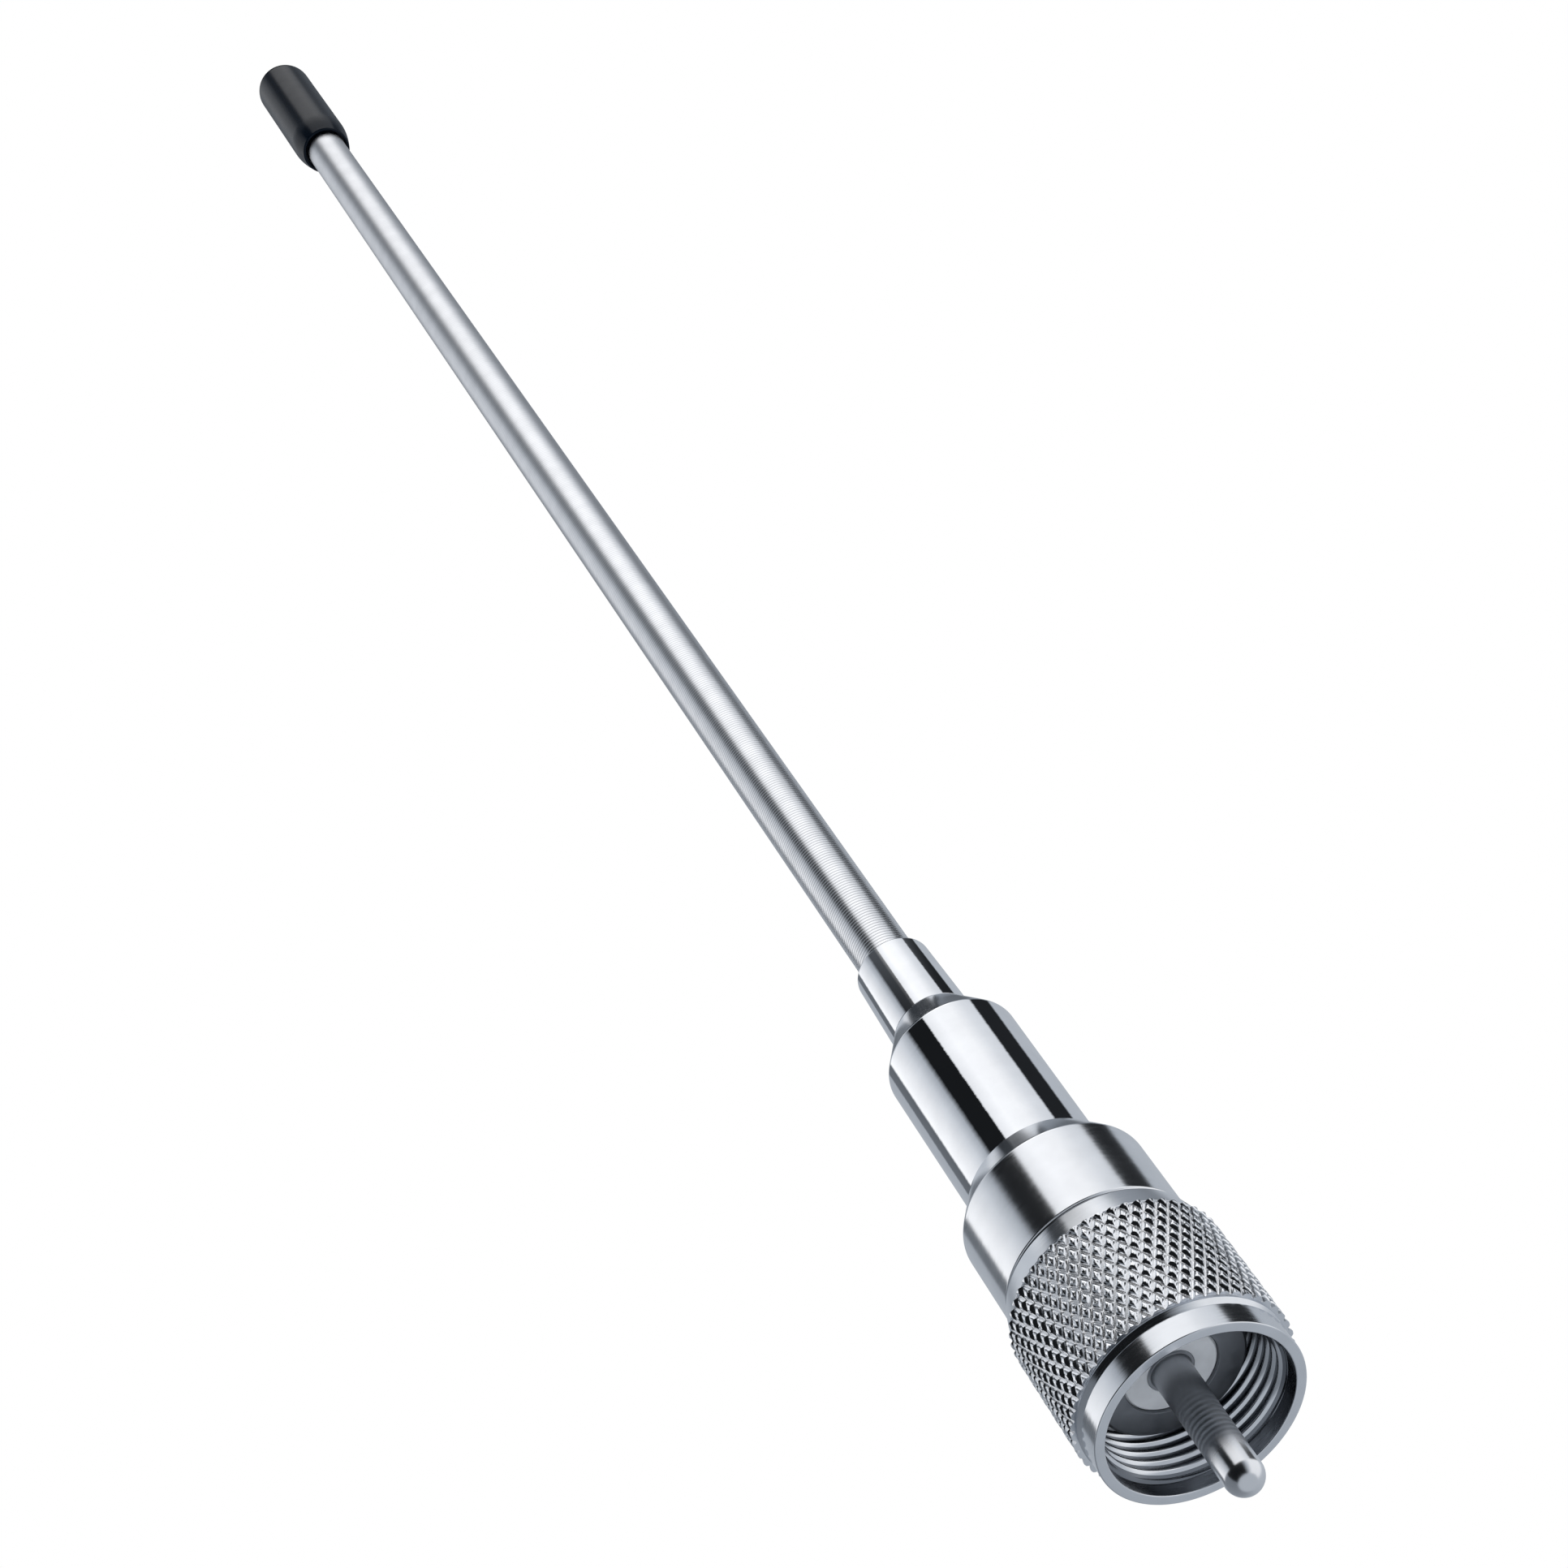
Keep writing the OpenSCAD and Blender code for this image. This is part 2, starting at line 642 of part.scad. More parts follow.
module whip_winding() {
    color("lightsteelblue") tube(whip_d, core_d + 2 * close_fit, whip_z + close_fit, whip_end_z);
}

module whip_core() {
    color("slategray") translate([0, 0, whip_z + close_fit]) cylinder(d = core_d, h = whip_end_z - whip_z - close_fit);
}

module end_crimp() {
    inner_r = whip_d / 2 + close_fit;
    outer_r = inner_r + crimp_wall;
    top_z = whip_end_z + crimp_wall;
    color("goldenrod") turned([
        [inner_r, top_z - crimp_l],
        [outer_r, top_z - crimp_l],
        [outer_r, top_z],
        [0, top_z],
        [0, whip_end_z + close_fit],
        [inner_r, whip_end_z + close_fit]
    ]);
}

module tip_cap() {
    mouth_r = cap_mouth_d / 2;
    cap_r = cap_d / 2;
    hole_r = whip_d / 2 + 2 * close_fit;
    crimp_r = hole_r + crimp_wall + close_fit;
    crimp_z = whip_end_z + crimp_wall - crimp_l - free_fit;
    hole_end_z = cap_z + cap_hole_l;
    end_z = cap_z + cap_l;
    flare_z = cap_z + cap_bead_r;
    recess_r = hole_r + cap_recess;
    recess_z = cap_z + cap_recess_l;
    // The side swells from mouth to full width along a quarter sine
    swell = [for (i = [0 : 8]) [mouth_r + (cap_r - mouth_r) * sin(90 * i / 8), flare_z + cap_flare_l * i / 8]];
    // The dome is a quarter circle that ends in a flatter crown
    crown_r = cap_r * 0.35;
    dome_r = cap_r - crown_r;
    color([0.1, 0.1, 0.11]) turned(concat(
        [[hole_r, recess_z], [recess_r, recess_z], [recess_r, cap_z]],
        arc(mouth_r - cap_bead_r, flare_z, cap_bead_r, -90, -20, 4),
        swell,
        arc(crown_r, end_z - dome_r, dome_r, 0, 90, 12), [
        [0, end_z],
        [0, hole_end_z],
        [crimp_r, hole_end_z],
        [crimp_r, crimp_z],
        [hole_r, crimp_z]
    ]));
}

coupling_ring();
friction_ring();
plug_shell();
insulator();
centre_pin();
clamp_ring();
pin_lead();
lead_tag();
coil_former();
trap_coil();
trap_capacitor();
collar();
body_seal();
body_tube();
ferrule();
whip_socket();
top_disc();
whip_sleeve();
whip_winding();
whip_core();
end_crimp();
tip_cap();
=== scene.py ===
"""Looks of the dual band radio antenna: plated turned metal, fine knurl, thread, wound whip, studio and camera.

Lengths in the sections below are millimetres, as in the part's source, and become metres when a mesh is made.
"""

import math

import bmesh
import bpy
import numpy as np
from mathutils import Matrix, Vector


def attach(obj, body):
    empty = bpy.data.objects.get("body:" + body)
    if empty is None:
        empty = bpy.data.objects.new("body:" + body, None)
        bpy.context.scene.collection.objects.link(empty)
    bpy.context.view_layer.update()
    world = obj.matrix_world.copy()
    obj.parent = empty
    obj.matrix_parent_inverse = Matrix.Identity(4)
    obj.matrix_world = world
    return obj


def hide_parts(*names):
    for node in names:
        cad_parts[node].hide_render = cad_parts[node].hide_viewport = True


MM = 0.001

# Heights of the main edges along the axis, and the sizes that more than one piece uses
RING_FRONT, RING_REAR = -4.9, 11.7
KNURL_Z0, KNURL_Z1 = -2.0, 9.3
KNURL_ROOT, KNURL_TIP = 9.17, 9.5
KNURL_COUNT, KNURL_ROWS = 52, 11
MOUTH_R, THREAD_R, THREAD_ROOT_R = 8.0, 7.43, 7.94
THREAD_Z0, SHOULDER_Z = -3.55, 7.1
THREAD_PITCH = 25.4 / 24
COLLAR_Z0, COLLAR_Z1, COLLAR_END = 11.85, 20.65, 23.95
BODY_R, BODY_Z0, BODY_Z1, BODY_END = 6.18, 17.06, 41.75, 46.05
FERRULE_Z0, FERRULE_END = 46.06, 55.55
WHIP_R, WHIP_Z0, WHIP_END = 2.75, 30.06, 293.75
WINDING_PITCH, WINDING_Z0 = 0.379, 53.0
CAP_Z0, CAP_END = 271.75, 300.95

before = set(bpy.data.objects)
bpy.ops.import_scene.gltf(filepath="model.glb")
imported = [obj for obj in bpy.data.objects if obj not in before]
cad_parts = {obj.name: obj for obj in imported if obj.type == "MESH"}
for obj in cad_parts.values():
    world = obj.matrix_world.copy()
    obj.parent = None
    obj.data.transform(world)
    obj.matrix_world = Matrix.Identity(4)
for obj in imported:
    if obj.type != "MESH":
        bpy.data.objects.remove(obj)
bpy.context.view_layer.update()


def new_object(name, vertices, faces, normals=None, sharp=None):
    """Mesh object from points in millimetres, shaded smooth with given corner normals or with edges sharp from an angle."""
    mesh = bpy.data.meshes.new(name)
    mesh.from_pydata((np.asarray(vertices) * MM).tolist(), [], faces)
    mesh.update()
    mesh.polygons.foreach_set("use_smooth", [True] * len(mesh.polygons))
    if normals is not None:
        mesh.normals_split_custom_set(normals)
    if sharp is not None:
        mesh.set_sharp_from_angle(angle=math.radians(sharp))
    obj = bpy.data.objects.new(name, mesh)
    bpy.context.scene.collection.objects.link(obj)
    return obj


def arc(r, z, radius, start, end, steps=10):
    """Points of an arc round (r, z), as radius and height pairs."""
    angles = np.radians(np.linspace(start, end, steps + 1))
    return [(r + radius * math.cos(a), z + radius * math.sin(a)) for a in angles]


def softened(section, size):
    """The closed section with its sharp corners rounded by up to the given size, as a real cutter leaves them."""
    points = [np.array(p, float) for p in section]
    out = []
    for i, p in enumerate(points):
        before, after = points[i - 1] - p, points[(i + 1) % len(points)] - p
        a, b = np.linalg.norm(before), np.linalg.norm(after)
        turn = math.degrees(math.acos(np.clip(-before @ after / (a * b), -1, 1)))
        if turn < 25 or p[0] < 1e-6:
            out.append(p)
            continue
        cut = min(size, 0.4 * a, 0.4 * b)
        start, end = p + before / a * cut, p + after / b * cut
        for t in (0, 0.25, 0.5, 0.75, 1):
            out.append((1 - t) ** 2 * start + 2 * t * (1 - t) * p + t * t * end)
    return out


def revolve(section, count, smooth=38):
    """Vertices, faces and corner normals of a closed section turned about Z. A joint under the smooth angle takes the normal of its longer side."""
    pts = np.array(section, float)
    n = len(pts)
    step = np.roll(pts, -1, 0) - pts
    length = np.linalg.norm(step, axis=1)
    flat = np.stack([step[:, 1], -step[:, 0]], 1) / length[:, None]
    mixed = flat * length[:, None] + np.roll(flat * length[:, None], 1, 0)
    mixed /= np.linalg.norm(mixed, axis=1)[:, None]
    joined = (flat * np.roll(flat, 1, 0)).sum(1) > math.cos(math.radians(smooth))
    turn = np.arange(count) * 2 * math.pi / count
    cos, sin = np.cos(turn), np.sin(turn)

    vertices, first = [], []
    for r, z in pts:
        first.append(len(vertices))
        if r < 1e-6:
            vertices.append((0, 0, z))
        else:
            vertices.extend(zip(r * cos, r * sin, [z] * count))

    def corner(k, i):
        return first[k] if pts[k][0] < 1e-6 else first[k] + i % count

    def normal(k, segment, i):
        r, z = mixed[k] if joined[k] else flat[segment]
        return (r * cos[i % count], r * sin[i % count], z)

    faces, normals = [], []
    for k in range(n):
        m = (k + 1) % n
        if pts[k][0] < 1e-6 and pts[m][0] < 1e-6:
            continue
        for i in range(count):
            ring = [(k, i), (k, i + 1), (m, i + 1), (m, i)]
            if pts[k][0] < 1e-6:
                ring.pop(1)
            elif pts[m][0] < 1e-6:
                ring.pop(2)
            faces.append([corner(*c) for c in ring])
            normals.extend(normal(c, k, j) for c, j in ring)
    return vertices, faces, normals


def turned(name, section, soft=0.06, count=160):
    """Turned piece with softened edges from its closed half section."""
    return new_object(name, *revolve(softened(section, soft), count))


def knurl_band(inner_r):
    """Rolled diamond knurl: grooves with a fine ridge in the middle, made bright by a painted highlight in their
    material, and low convex pyramids with uneven tops.
    """
    pitch = 2 * math.pi / KNURL_COUNT
    row = (KNURL_Z1 - KNURL_Z0) / KNURL_ROWS
    rng = np.random.default_rng(7)
    levels = [(1.0, KNURL_ROOT + 0.025), (0.92, KNURL_ROOT), (0.83, KNURL_ROOT + 0.02), (0.64, KNURL_ROOT + 0.18),
              (0.42, KNURL_ROOT + 0.28), (0.2, KNURL_TIP - 0.022)]
    side = 3
    corners = [(0.5, 0), (0, 1), (-0.5, 0), (0, -1)]
    vertices, faces = [], []

    def add(u, v, r):
        vertices.append((r * math.cos(u * pitch), r * math.sin(u * pitch), KNURL_Z0 + v * row))
        return len(vertices) - 1

    def outline(k):
        """Points of the diamond's unit outline: all four sides, or the two inside the band in the end rows."""
        sides = [0, 1] if k == 0 else [2, 3] if k == KNURL_ROWS else [0, 1, 2, 3]
        path = []
        for s in sides:
            (a, b), (c, d) = corners[s], corners[(s + 1) % 4]
            path += [(a + (c - a) * t / side, b + (d - b) * t / side) for t in range(side)]
        if len(sides) == 2:
            path.append(corners[(sides[1] + 1) % 4])
        return path

    for k in range(KNURL_ROWS + 1):
        path = outline(k)
        closed = 0 < k < KNURL_ROWS
        for i in range(KNURL_COUNT):
            u0 = i + 0.5 + (k % 2) / 2
            rings = []
            for scale, r in levels:
                rough = 0.02 if scale < 0.3 else 0.008 if scale < 0.7 else 0
                rings.append([add(u0 + p * scale, k + q * scale, r + rng.uniform(-rough, rough)) for p, q in path])
            middle = add(u0, k, KNURL_TIP - rng.uniform(0.01, 0.04))
            spans = len(path) if closed else len(path) - 1
            for low, high in zip(rings, rings[1:]):
                for j in range(spans):
                    m = (j + 1) % len(path)
                    faces.append([low[j], low[m], high[m], high[j]])
            faces += [[rings[-1][j], rings[-1][(j + 1) % len(path)], middle] for j in range(spans)]
            if not closed:
                up = k == 0
                edge = [ring[0] for ring in rings] + [middle] + [ring[-1] for ring in reversed(rings)]
                foot = [add(math.atan2(vertices[e][1], vertices[e][0]) / pitch, k, inner_r) for e in edge]
                for j in range(len(edge) - 1):
                    faces.append([edge[j], foot[j], foot[j + 1], edge[j + 1]][::1 if up else -1])
    return vertices, faces


def helix_skin(z0, z1, pitch, profile, count, limit):
    """Helical skin of r over one pitch, given as (share of pitch, radius) pairs. limit(z) is an inner bound of the radius, and heights are held between z0 and z1."""
    turns = math.ceil((z1 - z0) / pitch) + 2
    share, radius = np.array(profile).T
    rows = turns * len(profile)
    vertices = []
    for i in range(count):
        lift = i / count
        for j in range(rows):
            k, s = divmod(j, len(profile))
            z = min(z1, max(z0, z0 + pitch * (k - 1 + share[s] + lift)))
            r = max(radius[s], limit(z))
            vertices.append((r * math.cos(2 * math.pi * lift), r * math.sin(2 * math.pi * lift), z))
    faces = []
    for i in range(count):
        wrap = i == count - 1
        for j in range(rows - 1):
            a, b = i * rows + j, i * rows + j + 1
            if wrap:
                c, d = b - i * rows + len(profile), a - i * rows + len(profile)
                if c >= rows:
                    continue
            else:
                c, d = b + rows, a + rows
            faces.append([a, d, c, b])
    return vertices, faces


def tidy(obj, sharp):
    """Joins the points that meet, drops collapsed faces, and marks the edges that are sharp."""
    mesh = obj.data
    bpy.context.view_layer.objects.active = obj
    bm = bmesh.new()
    bm.from_mesh(mesh)
    bmesh.ops.remove_doubles(bm, verts=bm.verts, dist=0.0015 * MM)
    bmesh.ops.dissolve_degenerate(bm, edges=bm.edges, dist=0.0005 * MM)
    bm.to_mesh(mesh)
    bm.free()
    mesh.set_sharp_from_angle(angle=math.radians(sharp))
    return obj


def join(name, objects):
    """One object from several."""
    with bpy.context.temp_override(active_object=objects[0], selected_editable_objects=objects):
        bpy.ops.object.join()
    objects[0].name = name
    objects[0].data.name = name
    return objects[0]


class Nodes:
    """Short way to write a material's node tree."""

    def __init__(self, name):
        self.material = bpy.data.materials.new(name)
        self.material.use_nodes = True
        self.tree = self.material.node_tree
        self.shader = self.tree.nodes["Principled BSDF"]
        self.place = self.add("ShaderNodeTexCoord").outputs["Object"]

    def add(self, kind, **settings):
        node = self.tree.nodes.new(kind)
        for key, value in settings.items():
            setattr(node, key, value)
        return node

    def link(self, source, target):
        self.tree.links.new(source, target)

    def set(self, **values):
        for key, value in values.items():
            self.shader.inputs[key.replace("_", " ")].default_value = value

    def noise(self, scale, detail=3.0, rough=0.5, stretch=(1, 1, 1)):
        """Noise over the object, in features per metre along each axis."""
        mapping = self.add("ShaderNodeMapping")
        mapping.inputs["Scale"].default_value = stretch
        self.link(self.place, mapping.inputs["Vector"])
        node = self.add("ShaderNodeTexNoise")
        node.inputs["Scale"].default_value = scale
        node.inputs["Detail"].default_value = detail
        node.inputs["Roughness"].default_value = rough
        self.link(mapping.outputs["Vector"], node.inputs["Vector"])
        return node.outputs["Fac"]

    def ramp(self, source, stops):
        node = self.add("ShaderNodeValToRGB")
        ramp = node.color_ramp
        while len(ramp.elements) < len(stops):
            ramp.elements.new(0.5)
        for element, (position, colour) in zip(ramp.elements, stops):
            element.position = position
            element.color = (*colour, 1) if len(np.shape(colour)) else (colour, colour, colour, 1)
        self.link(source, node.inputs["Fac"])
        return node.outputs["Color"]

    def span(self, source, low, high, start=0.0, end=1.0):
        """Source mapped from start..end to low..high."""
        node = self.add("ShaderNodeMapRange")
        for key, value in zip(("From Min", "From Max", "To Min", "To Max"), (start, end, low, high)):
            node.inputs[key].default_value = value
        self.link(source, node.inputs["Value"])
        return node.outputs["Result"]

    def calculate(self, operation, *values):
        node = self.add("ShaderNodeMath", operation=operation)
        for value, socket in zip(values, node.inputs):
            if isinstance(value, float):
                socket.default_value = value
            else:
                self.link(value, socket)
        return node.outputs["Value"]

    def height(self, source, depth):
        """Bump from a height of the given depth in metres."""
        node = self.add("ShaderNodeBump")
        node.inputs["Strength"].default_value = 1.0
        node.inputs["Distance"].default_value = depth
        self.link(source, node.inputs["Height"])
        return node.outputs["Normal"]

    def vector(self, operation, *sources, scale=None):
        node = self.add("ShaderNodeVectorMath", operation=operation)
        for source, socket in zip(sources, node.inputs):
            if isinstance(source, tuple):
                socket.default_value = source
            else:
                self.link(source, socket)
        if scale is not None:
            self.link(scale, node.inputs["Scale"])
        return node.outputs["Vector"]

    def turning_marks(self, amount, around, along):
        """Normal that leans sideways by small amounts from one turned line to the next, as a lathe leaves it."""
        normal = self.add("ShaderNodeNewGeometry").outputs["Normal"]
        lines = self.noise(1.0, detail=2.0, rough=0.6, stretch=(around, around, along))
        lean = self.span(lines, -amount, amount, 0.25, 0.75)
        sideways = self.vector("CROSS_PRODUCT", normal, (0.0, 0.0, 1.0))
        return self.vector("NORMALIZE", self.vector("ADD", normal, self.vector("SCALE", sideways, scale=lean)))


def plated(name, colour, rough, marks=0.0, lines=9000.0, spread=0.3, grain=0.0):
    """Plated turned metal: clouded roughness, faint colour drift, turning marks, or a grain of the given depth in metres."""
    n = Nodes(name)
    n.set(Metallic=1.0)
    cloud = n.noise(420.0, detail=4.0)
    dark = tuple(c * 0.95 for c in colour)
    n.link(n.ramp(cloud, [(0.35, dark), (0.65, colour)]), n.shader.inputs["Base Color"])
    fine = n.noise(1.0, detail=2.0, stretch=(600.0, 600.0, lines))
    n.link(n.span(fine, rough * (1 - spread), rough * (1 + spread), 0.3, 0.7), n.shader.inputs["Roughness"])
    if grain:
        n.link(n.height(n.noise(7000.0, detail=3.0, rough=0.6), grain), n.shader.inputs["Normal"])
    elif marks:
        n.link(n.turning_marks(marks, 260.0, lines), n.shader.inputs["Normal"])
    return n.material


def moulded(name, colour, rough, grain=3000.0, depth=0.000004, spread=0.15, specular=0.5):
    """Moulded plastic or rubber with a fine grain and slightly uneven gloss."""
    n = Nodes(name)
    n.set(Specular_IOR_Level=specular)
    cloud = n.noise(500.0, detail=4.0)
    dark = tuple(c * 0.85 for c in colour)
    n.link(n.ramp(cloud, [(0.3, dark), (0.7, colour)]), n.shader.inputs["Base Color"])
    n.link(n.span(cloud, rough * (1 - spread), rough * (1 + spread), 0.3, 0.7), n.shader.inputs["Roughness"])
    n.link(n.height(n.noise(grain, detail=2.0), depth), n.shader.inputs["Normal"])
    return n.material


def dress(obj, material):
    obj.data.materials.clear()
    obj.data.materials.append(material)


def recolour(obj, material, pick):
    """Gives a second material to the faces whose middles, as radius and height in millimetres, pick chooses."""
    mesh = obj.data
    middles = np.empty(len(mesh.polygons) * 3)
    mesh.polygons.foreach_get("center", middles)
    x, y, z = middles.reshape(-1, 3).T / MM
    mesh.materials.append(material)
    chosen = pick(np.hypot(x, y), z)
    index = np.empty(len(mesh.polygons), dtype=np.int32)
    mesh.polygons.foreach_get("material_index", index)
    index[chosen] = len(mesh.materials) - 1
    mesh.polygons.foreach_set("material_index", index)


def place(obj, material, body, slot, *nodes):
    """Gives a new piece its material and its body, and hides the CAD nodes that it stands for. The slot is not used."""
    dress(obj, material)
    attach(obj, body)
    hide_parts(*nodes)


RING_METAL = plated("ring_metal", (0.80, 0.82, 0.85), 0.15, marks=0.014, lines=22000.0)
KNURL_METAL = plated("knurl_metal", (0.90, 0.915, 0.94), 0.10, grain=0.000012)
# Lighter, rougher copy of the knurl metal for the grooves: the lighter colour is a painted highlight that keeps the
# diamond net bright, and the roughness is real
GROOVE_METAL_PAINTED_HIGHLIGHT = plated("groove_metal_painted_highlight", (0.97, 0.975, 0.985), 0.27)
# Dark copy of the plated metal: a painted shade for the ring's bore, its thread flanks and the collar's edge next to
# the ring
PAINTED_SHADE_METAL = plated("painted_shade_metal", (0.24, 0.255, 0.28), 0.22, marks=0.01)
COLLAR_METAL = plated("collar_metal", (0.86, 0.875, 0.90), 0.15, marks=0.016, lines=22000.0)
MIRROR_METAL = plated("mirror_metal", (0.88, 0.895, 0.92), 0.035, marks=0.006, lines=4000.0)
CONE_METAL = plated("cone_metal", (0.80, 0.82, 0.85), 0.13, spread=0.15)
SHELL_METAL = plated("shell_metal", (0.30, 0.315, 0.34), 0.45, marks=0.01)
BRASS = plated("brass", (0.75, 0.6, 0.33), 0.3)
COPPER = plated("copper", (0.72, 0.42, 0.26), 0.25)
CORE_STEEL = plated("core_steel", (0.5, 0.51, 0.53), 0.3)
INSULATION = moulded("insulation", (0.83, 0.875, 0.93), 0.42)
BLACK_SATIN = moulded("black_satin", (0.0035, 0.0075, 0.015), 0.19, grain=2500.0, depth=0.0000002, specular=0.12)
BLACK_RUBBER = moulded("black_rubber", (0.02, 0.02, 0.02), 0.6)
PALE_PLASTIC = moulded("pale_plastic", (0.8, 0.79, 0.75), 0.5)
CERAMIC = moulded("ceramic", (0.5, 0.33, 0.16), 0.3)


def pin_metal():
    """The pin is dull and darkened by painted shade where it leaves the insulator inside the ring's mouth, ringed at
    its middle with painted shade in its turned rings, and polished towards the tip.
    """
    n = Nodes("pin_metal")
    n.set(Metallic=1.0)
    height = n.add("ShaderNodeSeparateXYZ")
    n.link(n.place, height.inputs["Vector"])
    along = n.span(height.outputs["Z"], 0.0, 1.0, -0.0131, 0.0)
    # Painted shade: the plating colour darkens from the ring's mouth towards the pin's root
    plating_and_shade = n.ramp(along, [(0.0, (0.82, 0.835, 0.86)), (0.45, (0.88, 0.895, 0.92)), (0.6, (0.84, 0.855, 0.88)),
                             (0.8, (0.60, 0.615, 0.64)), (1.0, (0.40, 0.415, 0.44))])
    # Painted shade in the pin's turned rings: the colour darkens in step with the rings at its middle
    wave = n.calculate("PINGPONG", n.calculate("MULTIPLY", height.outputs["Z"], 1 / (0.5 * MM)), 0.5)
    depth = n.ramp(along, [(0.3, 0.0), (0.4, 0.9), (0.6, 0.7), (0.75, 0.0)])
    painted_ring_shade = n.calculate("SUBTRACT", 1.0, n.calculate("MULTIPLY", wave, depth))
    n.link(n.vector("SCALE", plating_and_shade, scale=painted_ring_shade), n.shader.inputs["Base Color"])
    n.link(n.ramp(along, [(0.0, 0.24), (0.15, 0.19), (0.22, 0.22), (0.3, 0.3), (0.75, 0.36), (1.0, 0.42)]), n.shader.inputs["Roughness"])
    # The polished end is turned very slightly conical
    down = n.add("ShaderNodeCombineXYZ")
    n.link(n.span(along, -0.06, 0.0, 0.28, 0.38), down.inputs["Z"])
    marked = n.turning_marks(0.012, 300.0, 16000.0)
    n.link(n.vector("NORMALIZE", n.vector("ADD", marked, down.outputs["Vector"])), n.shader.inputs["Normal"])
    return n.material


def whip_steel():
    """Wound steel wire: glossy, with painted shade between its turns near the ferrule, ground satin towards the tip."""
    n = Nodes("whip_steel")
    n.set(Metallic=1.0)
    parts = n.add("ShaderNodeSeparateXYZ")
    n.link(n.place, parts.inputs["Vector"])
    # Painted shade in the valleys between the wire's turns, strongest near the ferrule and fading towards the tip; the
    # cloud adds a faint random tone
    turn = n.calculate("MULTIPLY", n.calculate("ARCTAN2", parts.outputs["Y"], parts.outputs["X"]), -0.5 / math.pi)
    phase = n.calculate("FRACT", n.calculate("MULTIPLY_ADD", parts.outputs["Z"], 1 / (WINDING_PITCH * MM), turn))
    start = (WINDING_Z0 / WINDING_PITCH) % 1
    gap = n.calculate("PINGPONG", n.calculate("SUBTRACT", phase, start), 0.5)
    groove = n.span(gap, 1.0, 0.0, 0.0, 0.27)
    depth = n.ramp(n.span(parts.outputs["Z"], 0.0, 1.0, 0.055, 0.27), [(0.0, 0.6), (0.2, 0.42), (0.45, 0.2), (1.0, 0.06)])
    cloud = n.span(n.noise(420.0, detail=4.0), 0.0, 0.08, 0.35, 0.65)
    shade = n.calculate("ADD", n.calculate("MULTIPLY", groove, depth), cloud)
    n.link(n.ramp(shade, [(0.0, (0.93, 0.94, 0.96)), (1.0, (0.10, 0.11, 0.125))]), n.shader.inputs["Base Color"])
    n.link(n.span(parts.outputs["Z"], 0.25, 0.37, 0.055, 0.2), n.shader.inputs["Roughness"])
    return n.material


# Coupling ring: turned core, rolled knurl and the true helical thread in one piece
ring_core = turned("ring_core", [
    (MOUTH_R, RING_FRONT), (8.9, RING_FRONT), (8.9, -2.65), (8.7, -2.65), (8.7, -2.45), (9.025, KNURL_Z0),
    (8.8, KNURL_Z0), (8.8, KNURL_Z1), (9.31, KNURL_Z1), (8.65, RING_REAR), (5.68, RING_REAR), (5.68, 10.06),
    (6.56, 10.06), (6.56, 8.9), (5.68, 8.9), (5.68, SHOULDER_Z), (MOUTH_R, SHOULDER_Z)], soft=0.12, count=256)
ring_knurl = tidy(new_object("ring_knurl", *knurl_band(8.75)), 34)
ring_thread = tidy(new_object("ring_thread", *helix_skin(
    THREAD_Z0, SHOULDER_Z, THREAD_PITCH,
    [(0.0, THREAD_ROOT_R), (0.10, THREAD_ROOT_R), (0.25, THREAD_R + 0.28), (0.40, THREAD_R + 0.06),
     (0.45, THREAD_R + 0.01), (0.5, THREAD_R), (0.55, THREAD_R + 0.01), (0.60, THREAD_R + 0.06),
     (0.75, THREAD_R + 0.28), (0.90, THREAD_ROOT_R)],
    160, lambda z: MOUTH_R - (z - THREAD_Z0) * 1.9)), 34)
ring = join("coupling_ring_fine", [ring_core, ring_knurl, ring_thread])
place(ring, RING_METAL, "nut", "ring", "coupling_ring")
# Painted shade inside the ring's mouth: the bore and the thread's roots and flanks take the dark metal, and only the
# crests stay bright
recolour(ring, PAINTED_SHADE_METAL, lambda r, z: (r < 8.01) & (z > RING_FRONT + 0.13) & (z < SHOULDER_Z + 0.1)
         & ((r > THREAD_R + 0.2) | (z < THREAD_Z0 + 0.3)))
recolour(ring, KNURL_METAL, lambda r, z: (r > KNURL_ROOT + 0.03) & (z > KNURL_Z0) & (z < KNURL_Z1))
# Painted highlight: the knurl's grooves take the lighter groove metal
recolour(ring, GROOVE_METAL_PAINTED_HIGHLIGHT, lambda r, z: (abs(r - KNURL_ROOT) < 0.031) & (z > KNURL_Z0) & (z < KNURL_Z1))

# Plug shell, insulator and pin
shell = turned("plug_shell_fine", [
    (4.05, 0), (6.25, 0), (6.5, 0.25), (6.5, 3.6), (7.03, 3.6), (7.28, 3.85), (7.28, 5.35), (7.03, 5.6), (5.6, 5.6),
    (5.6, 17.05), (4.8, 17.05), (4.8, 4.0), (4.05, 4.0)])
place(shell, SHELL_METAL, "antenna", "shell", "plug_shell")

insulator = turned("insulator_fine", [
    (2.01, 0.2), (3.84, 0.2), (4.04, 0.4), (4.04, 4.01), (4.79, 4.01), (4.79, 9.0), (2.01, 9.0)], soft=0.05)
place(insulator, INSULATION, "antenna", "insulator", "insulator")

